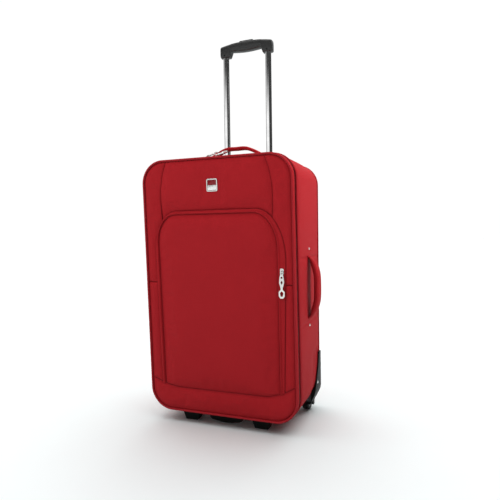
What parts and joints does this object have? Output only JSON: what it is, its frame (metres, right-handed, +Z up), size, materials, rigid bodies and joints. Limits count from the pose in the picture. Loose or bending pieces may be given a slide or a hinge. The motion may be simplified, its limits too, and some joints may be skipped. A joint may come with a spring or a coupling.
{
  "type": "soft-sided upright suitcase",
  "caption": "Soft-sided upright suitcase with a hinged zipped lid, zipped front pocket, telescopic handle, carry handles and rear wheels",
  "frame": {"origin": "bottom centre of the whole part's box, on the floor under the case", "axes": "+Z up, the front faces -Y, +X is the side with the carry handle"},
  "size_m": [0.4588, 0.282, 1.0906],
  "materials": {
    "red_fabric": "woven polyester, matte",
    "back_fabric": "woven polyester, matte",
    "piping": "smooth piping",
    "zip_tape": "knitted tape",
    "lining": "thin lining",
    "board": "stiffener sheet",
    "frame_wire": "wire",
    "black_plastic": "moulded, fine texture",
    "grip_plastic": "moulded, matte",
    "tube_metal": "dark anodised, glossy",
    "steel": "plain",
    "bright_metal": "plated",
    "tyre_rubber": "moulded rubber",
    "hub_plastic": "moulded"
  },
  "bodies": {
    "case": {"wheel_guard_right": "black_plastic", "wheel_guard_left": "black_plastic", "axles": "steel", "axle_spacers": "steel", "guard_rivets": "bright_metal", "gusset_top": "red_fabric", "gusset_bottom": "red_fabric", "gusset_middle_right": "red_fabric", "gusset_middle_left": "red_fabric", "case_zip_tape": "zip_tape", "case_piping": "piping", "back_piping": "piping", "back_panel": "back_fabric", "back_board": "board", "frame_hoop": "frame_wire", "back_lining": "lining", "packing_straps": "lining", "strap_buckle": "black_plastic", "outer_tubes": "tube_metal", "tube_bracket": "black_plastic", "handle_bezel": "black_plastic", "front_feet": "black_plastic", "centre_skid": "black_plastic", "foot_screws": "steel", "top_handle": "red_fabric", "side_handle": "red_fabric", "handle_tabs": "red_fabric", "handle_rivets": "bright_metal"},
    "lid": {"front_top_panel": "red_fabric", "front_bottom_panel": "red_fabric", "front_strip_upper_right": "red_fabric", "front_strip_upper_left": "red_fabric", "front_strip_lower_right": "red_fabric", "front_strip_lower_left": "red_fabric", "lid_piping": "piping", "lid_gusset": "red_fabric", "lid_zip_tape": "zip_tape", "lid_lining": "lining", "pocket_zip_tape": "zip_tape", "pocket_rim": "lining", "pocket_backing": "lining", "badge_frame": "bright_metal", "badge_plate": "bright_metal"},
    "pocket": {"pocket_panel": "red_fabric"},
    "handle": {"inner_tubes": "tube_metal", "tube_guides": "black_plastic", "release_rods": "steel", "grip": "grip_plastic", "grip_pins": "steel"},
    "release_button": {"release_button": "grip_plastic"},
    "wheel_right": {"tyre_right": "tyre_rubber", "hub_right": "hub_plastic"},
    "wheel_left": {"tyre_left": "tyre_rubber", "hub_left": "hub_plastic"},
    "zip_slider_left": {"zip_slider_left": "bright_metal"},
    "zip_slider_right": {"zip_slider_right": "bright_metal"},
    "zip_pull_left": {"zip_pull_left": "bright_metal"},
    "zip_pull_right": {"zip_pull_right": "bright_metal"},
    "pocket_slider": {"pocket_slider": "bright_metal"},
    "pocket_pull": {"pocket_pull": "bright_metal"}
  },
  "joints": [
    {"name": "lid_hinge", "type": "hinge", "parent": "case", "child": "lid", "pos_m": [-0.22685, -0.09871, 0.33069], "axis": [0, 0.0455, -0.999], "range_deg": [0, 115]},
    {"name": "pocket_open", "type": "hinge", "parent": "lid", "child": "pocket", "pos_m": [-0.01535, -0.11405, 0.09625], "axis": [1, 0, 0], "range_deg": [0, 35]},
    {"name": "handle_slide", "type": "slide", "parent": "case", "child": "handle", "axis": [0, 0, 1], "range_m": [-0.32, 0]},
    {"name": "button_press", "type": "slide", "parent": "handle", "child": "release_button", "axis": [0, 0, 1], "range_m": [-0.004, 0], "stiffness_N_per_m": 600, "springref_m": 0.002},
    {"name": "wheel_right_spin", "type": "hinge", "parent": "case", "child": "wheel_right", "pos_m": [0.16465, 0.09798, 0.027], "axis": [1, 0, 0], "continuous": true},
    {"name": "wheel_left_spin", "type": "hinge", "parent": "case", "child": "wheel_left", "pos_m": [-0.19535, 0.09798, 0.027], "axis": [1, 0, 0], "continuous": true},
    {"name": "zip_left_slide", "type": "slide", "parent": "case", "child": "zip_slider_left", "axis": [1, 0, 0], "range_m": [-0.11, 0]},
    {"name": "zip_left_pull", "type": "hinge", "parent": "zip_slider_left", "child": "zip_pull_left", "pos_m": [-0.03935, -0.11595, 0.71405], "axis": [1, 0, 0], "range_deg": [-18, 132]},
    {"name": "zip_right_slide", "type": "slide", "parent": "case", "child": "zip_slider_right", "axis": [1, 0, 0], "range_m": [0, 0.13]},
    {"name": "zip_right_pull", "type": "hinge", "parent": "zip_slider_right", "child": "zip_pull_right", "pos_m": [-0.01335, -0.11595, 0.71405], "axis": [1, 0, 0], "range_deg": [-18, 132]},
    {"name": "pocket_zip_slide", "type": "slide", "parent": "lid", "child": "pocket_slider", "axis": [0.0187, -0.0455, 0.9988], "range_m": [-0.28, 0.03]},
    {"name": "pocket_zip_pull", "type": "hinge", "parent": "pocket_slider", "child": "pocket_pull", "pos_m": [0.16165, -0.13029, 0.41734], "axis": [-1, 0, 0], "range_deg": [0, 150]}
  ]
}
